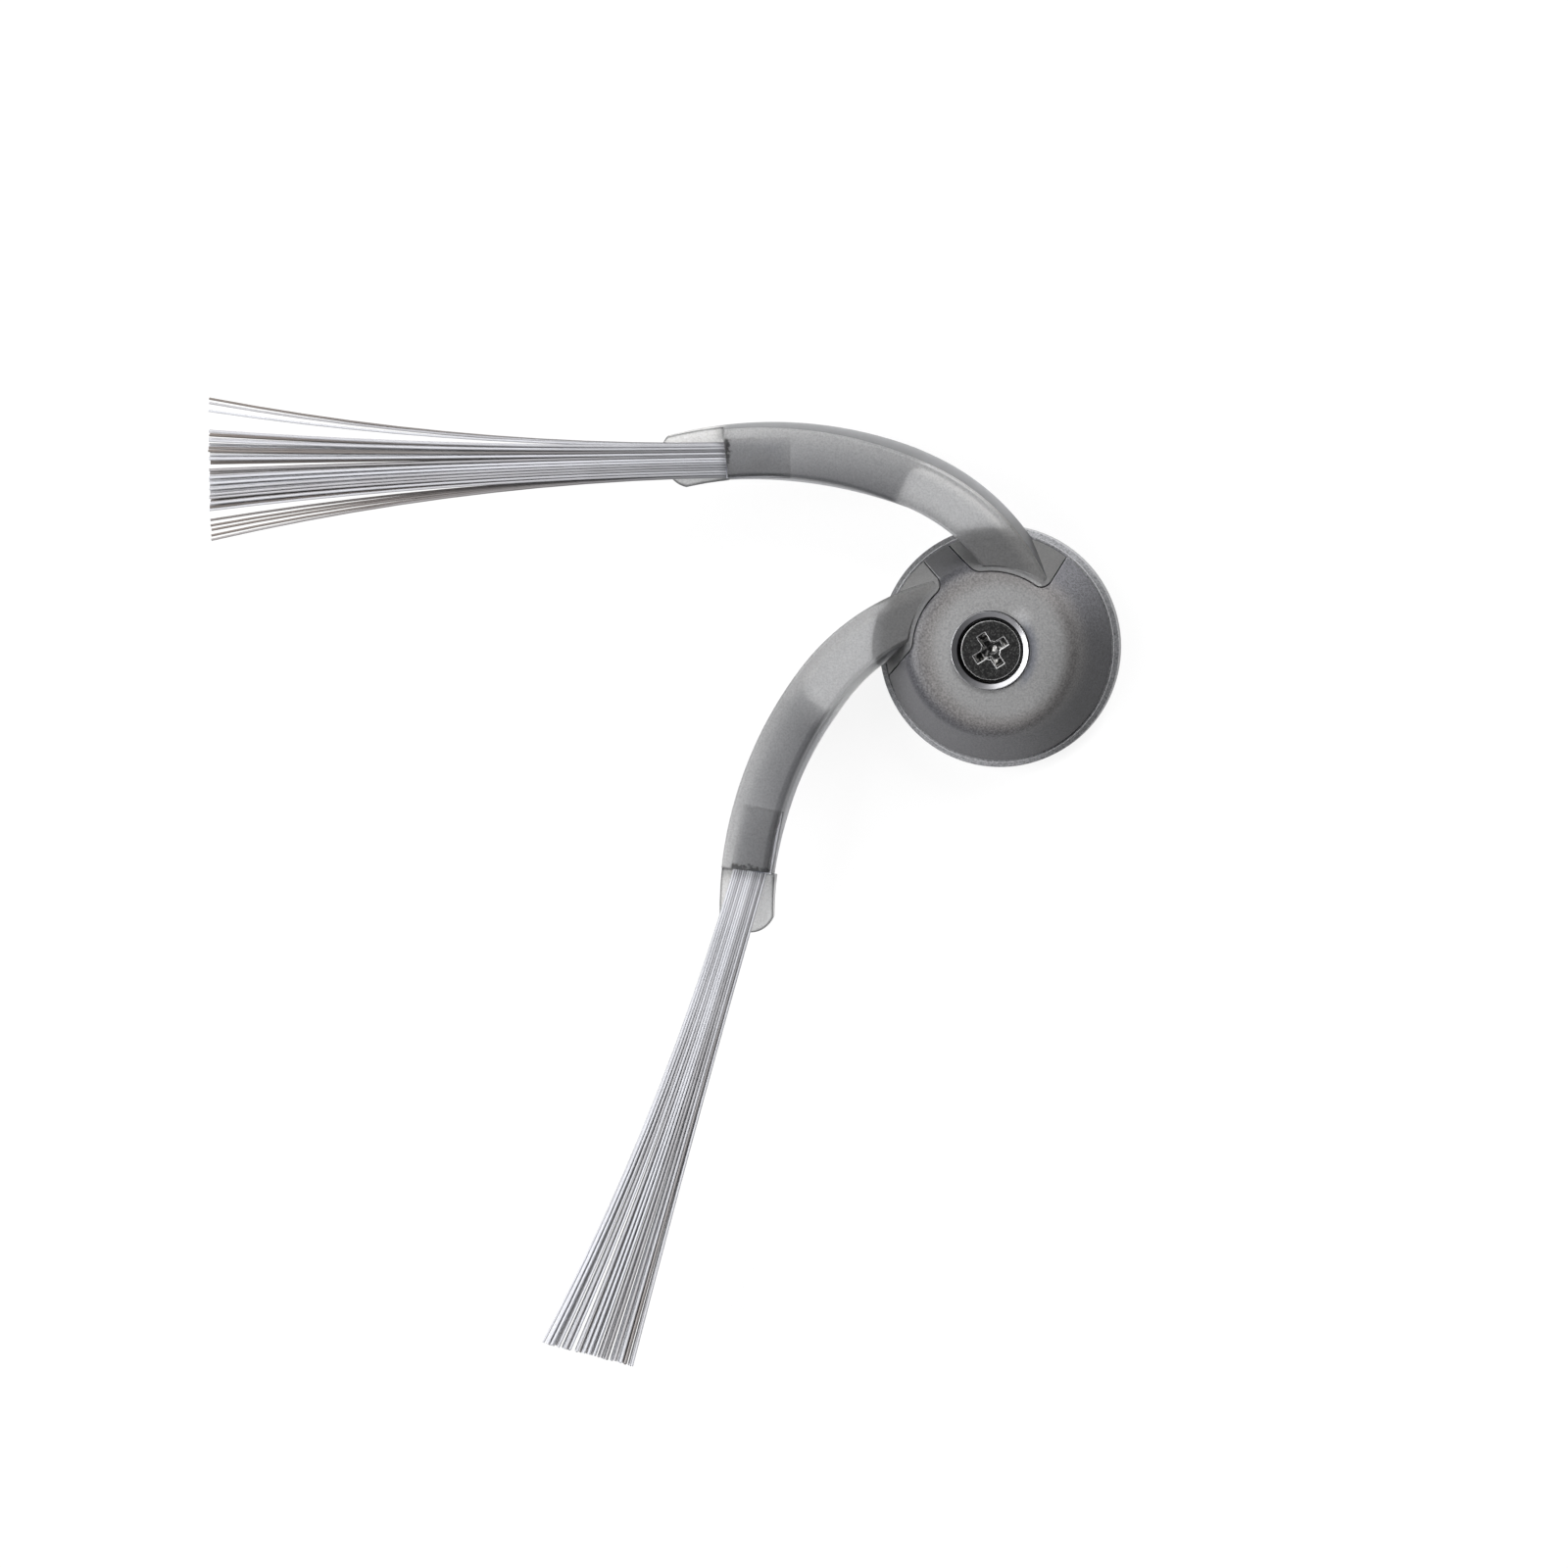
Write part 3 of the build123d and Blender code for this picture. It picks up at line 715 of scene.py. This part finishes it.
def plant_tuft(name, turn, material):
    """Grows the bristles of one tuft, strand by strand, in place of its plain solid."""
    tuft = BristleGrowth(bristle_groups[name]).grow(f"bristles_{name}", {
        "Rows": bristle_rows,
        "Root Width": tuft_root_width,
        "Root Height": tuft_root_height,
        "Root Length": tuft_root_length,
        "Lane Width": bristle_width,
        "Radius": bristle_radius,
        "Material": material,
        **bristle_fans[name],
    }, tuft_place(turn))
    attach(tuft, "root")
    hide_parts(f"tuft_{name}")


def wind_thread(material):
    """Winds the thread round the screw's plain shank."""
    thread = thread_growth().grow("screw_thread", {
        "Radius": thread_radius - thread_ridge / 2,
        "Turns": (thread_top - thread_bottom) / thread_pitch,
        "Height": thread_top - thread_bottom,
        "Ridge": thread_ridge,
        "Material": material,
    }, Matrix.Translation((0, 0, thread_bottom)))
    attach(thread, "root")


def floor_finish():
    """Pale floor that the picture shows white, with the brush's shadow on it."""
    finish = Finish("floor")
    ray = {name: finish.add("ShaderNodeLightPath", {}, {}, name) for name in
           ("Is Camera Ray", "Is Glossy Ray", "Is Transmission Ray")}
    seen = ray["Is Camera Ray"] + ray["Is Glossy Ray"] + ray["Is Transmission Ray"]
    matt = finish.add("ShaderNodeBsdfDiffuse", {}, {"Color": floor_grey})
    white = finish.add("ShaderNodeEmission", {}, {"Color": (1.0, 1.0, 1.0, 1.0), "Strength": 1.0})
    share = seen.math("MINIMUM", seen, 1.0) * floor_whiteness
    blend = finish.add("ShaderNodeMixShader", {}, {0: share, 1: matt, 2: white})
    finish.add("ShaderNodeOutputMaterial", {}, {"Surface": blend})
    return finish.material


def lay_floor():
    bpy.ops.mesh.primitive_plane_add(size=floor_size, location=(0, 0, cad_box[0][2] - floor_gap))
    floor = bpy.context.object
    floor.name = "floor"
    floor.data.materials.append(floor_finish())


def light_room():
    """A pale room, darker overhead and to the right."""
    world = bpy.data.worlds.new("room")
    world.use_nodes = True
    tree = Tree(world.node_tree)
    tree.node_tree.nodes.clear()
    direction = tree.add("ShaderNodeTexCoord", {}, {}, "Generated")
    overhead = tree.add("ShaderNodeMapRange", {"interpolation_type": "SMOOTHSTEP"}, {
        "Value": tree.axis(direction, "Z"), "From Min": 0.55, "From Max": 1.0, "To Min": 0.8, "To Max": 0.22,
    })
    sideways = tree.add("ShaderNodeMapRange", {"interpolation_type": "SMOOTHSTEP"}, {
        "Value": tree.axis(direction, "X"), "From Min": -0.2, "From Max": 0.7, "To Min": 1.0, "To Max": 0.4,
    })
    level = overhead * sideways
    shade = tree.add("ShaderNodeCombineXYZ", {}, {"X": level, "Y": level, "Z": level * 1.03})
    backdrop = tree.add("ShaderNodeBackground", {}, {"Color": shade, "Strength": 0.75})
    tree.add("ShaderNodeOutputWorld", {}, {"Surface": backdrop})
    bpy.context.scene.world = world


def hang_lamps():
    for name, (spot, size, power, lights, mirrored) in lamps.items():
        lamp = bpy.data.lights.new(name, "AREA")
        lamp.size = size
        lamp.energy = power
        holder = bpy.data.objects.new(name, lamp)
        holder.location = spot
        holder.rotation_euler = spot.to_track_quat("Z", "Y").to_euler()
        holder.visible_diffuse = lights
        holder.visible_transmission = lights
        holder.visible_glossy = mirrored
        bpy.context.scene.collection.objects.link(holder)


def set_camera():
    camera = bpy.data.cameras.new("camera")
    camera.sensor_width = sensor_width
    camera.lens = sensor_width * view_distance / view_field
    camera.clip_end = 20.0
    right = Vector((0, 1, 0)).cross(view_direction).normalized()
    turn = Matrix((right, view_direction.cross(right), view_direction)).transposed().to_4x4()
    holder = bpy.data.objects.new("camera", camera)
    holder.matrix_world = Matrix.Translation(view_target + view_direction * view_distance) @ turn
    bpy.context.scene.collection.objects.link(holder)
    bpy.context.scene.camera = holder


screw_finish = dark_nickel()
bristle_finish = grey_nylon()
paint(nodes["hub_cover"], smoky_hub("hub_plastic", crown_grey, slope_grey, highlight_share=0.4, sheen_share=0.75))
paint(nodes["hub_base"], smoky_hub("rim_plastic", rim_grey, rim_grey, highlight_share=1.0, sheen_share=0.0))
paint(nodes["cup_washer"], polished_steel())
paint(nodes["screw"], screw_finish)
for name, turn in arm_turns.items():
    paint(nodes[f"arm_{name}"], smoky_arm(turn, *arm_painted_shades[name]))
    paint(nodes[f"tuft_{name}"], bristle_finish)
    plant_tuft(name, turn, bristle_finish)
wind_thread(screw_finish)
lay_floor()
light_room()
hang_lamps()
set_camera()
bpy.context.scene.view_settings.view_transform = "Standard"
